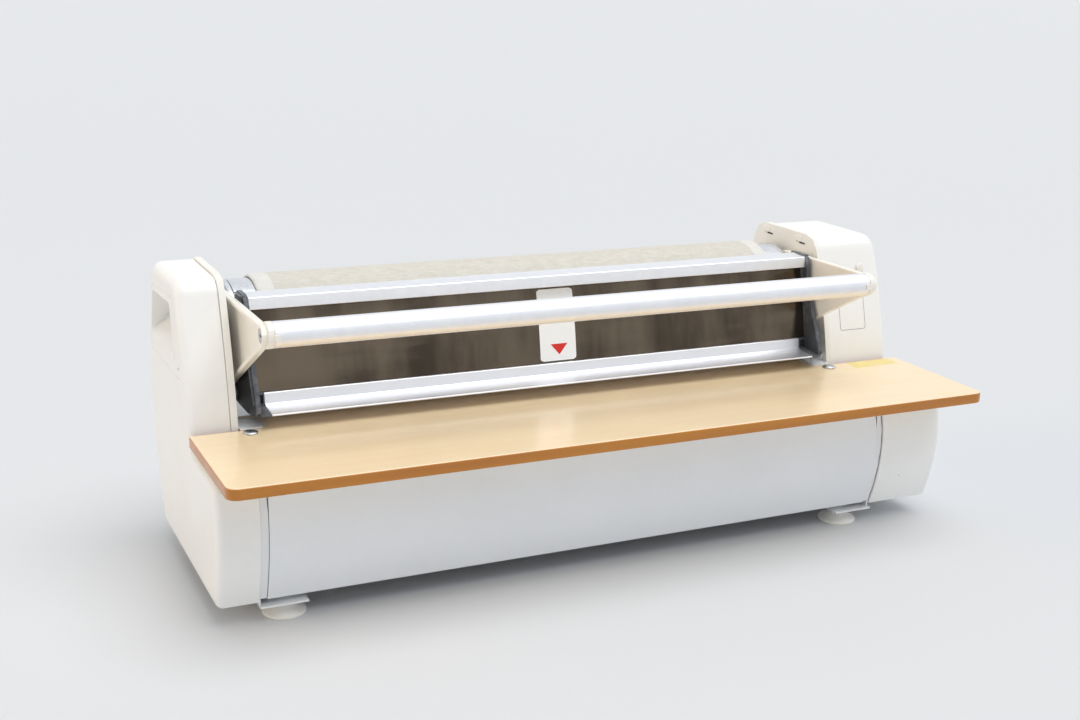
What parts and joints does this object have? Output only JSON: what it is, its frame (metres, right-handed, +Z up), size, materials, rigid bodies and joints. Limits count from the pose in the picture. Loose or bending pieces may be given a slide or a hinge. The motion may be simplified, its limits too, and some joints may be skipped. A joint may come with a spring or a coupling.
{
  "type": "flatwork ironer",
  "caption": "Table-top flatwork ironer with a padded roller between two gables, a tilting heated shoe with a pressing bar, and a wooden feeding table.",
  "frame": {"origin": "middle of the overall box, on the floor under the feet", "axes": "+X along the roller towards the drive side, -Y towards the operator's side with the feeding table, +Z up"},
  "size_m": [1.18, 0.492, 0.4325],
  "materials": {
    "gable_plastic": "satin moulded, off-white",
    "cream_plastic": "fine grain, cream",
    "arm_paint": "smooth cream paint over a casting",
    "base_enamel": "glossy light grey enamel",
    "beech_board": "lacquered beech board, darker sealed edge",
    "satin_aluminium": "satin extruded",
    "plate_aluminium": "polished ironing face",
    "bronzed_steel": "dark brown tinted, brushed along its length",
    "bright_steel": "bright, turned",
    "zinc_steel": "zinc plated",
    "spring_steel": "oiled",
    "dark_casting": "dark grey, painted",
    "gear_iron": "machined, greased",
    "motor_paint": "dark grey enamel",
    "iron_cloth": "plain woven cotton, heat mottled",
    "edging_tape": "white tape",
    "felt_padding": "needled felt",
    "black_plastic": "fine grain, black",
    "lamp_lens": "milky lens"
  },
  "bodies": {
    "machine": {"left_gable_cover": "gable_plastic", "right_gable_cover": "gable_plastic", "left_inner_panel": "cream_plastic", "right_inner_panel": "cream_plastic", "feeding_table": "beech_board", "left_table_bolt": "zinc_steel", "right_table_bolt": "zinc_steel", "left_table_clip": "base_enamel", "right_table_clip": "base_enamel", "left_side_frame": "base_enamel", "right_side_frame": "base_enamel", "front_cover": "base_enamel", "rear_cover": "base_enamel", "rear_deck": "base_enamel", "front_rail": "zinc_steel", "rear_rail": "zinc_steel", "front_left_foot": "cream_plastic", "rear_left_foot": "cream_plastic", "front_right_foot": "cream_plastic", "rear_right_foot": "cream_plastic", "left_roller_bearing": "black_plastic", "right_roller_bearing": "black_plastic", "gearbox": "gear_iron", "drive_motor": "motor_paint", "left_pressure_spring": "spring_steel", "right_pressure_spring": "spring_steel", "stop_switch": "black_plastic", "thermostat": "gear_iron", "switch_housing": "black_plastic", "pilot_lamp": "lamp_lens", "mains_gland": "black_plastic"},
    "roller": {"roller_drum": "bright_steel", "left_drum_disc": "bright_steel", "right_drum_disc": "bright_steel", "roller_shaft": "spring_steel", "roller_padding": "felt_padding", "roller_cloth": "iron_cloth", "left_cloth_edging": "edging_tape", "right_cloth_edging": "edging_tape", "roller_gear": "gear_iron"},
    "pinion": {"drive_pinion": "spring_steel"},
    "shoe": {"heated_plate": "plate_aluminium", "heating_element": "spring_steel", "shoe_cover": "bronzed_steel", "upper_profile": "satin_aluminium", "lower_profile": "satin_aluminium", "left_shoe_end": "dark_casting", "right_shoe_end": "dark_casting", "pressing_bar": "satin_aluminium", "left_bar_arm": "arm_paint", "right_bar_arm": "arm_paint", "left_arm_screw": "zinc_steel", "right_arm_screw": "zinc_steel", "left_pivot_bush": "cream_plastic", "right_pivot_bush": "cream_plastic", "left_pivot_lever": "spring_steel", "right_pivot_lever": "spring_steel"},
    "dial": {"thermostat_dial": "black_plastic"},
    "rocker": {"power_rocker": "black_plastic"}
  },
  "joints": [
    {"name": "roller_turn", "type": "hinge", "parent": "machine", "child": "roller", "pos_m": [0, 0.131, 0.328], "axis": [1, 0, 0], "continuous": true},
    {"name": "pinion_turn", "type": "hinge", "parent": "machine", "child": "pinion", "pos_m": [0.4855, 0.14414, 0.24503], "axis": [1, 0, 0], "continuous": true},
    {"name": "shoe_open", "type": "hinge", "parent": "machine", "child": "shoe", "pos_m": [0, 0.075, 0.256], "axis": [1, 0, 0], "range_deg": [0, 6], "stiffness_Nm_per_rad": 40, "springref_deg": -20.05, "deforming": ["left_pressure_spring", "right_pressure_spring"]},
    {"name": "thermostat_turn", "type": "hinge", "parent": "machine", "child": "dial", "pos_m": [0.58, 0.019, 0.15], "axis": [-1, 0, 0], "range_deg": [0, 270]},
    {"name": "power_rock", "type": "hinge", "parent": "machine", "child": "rocker", "pos_m": [0.5814, 0.084, 0.15], "axis": [0, -1, 0], "range_deg": [0, 16]}
  ],
  "couplings": [
    {"joint": "pinion_turn", "follows": "roller_turn", "ratio": -3}
  ]
}
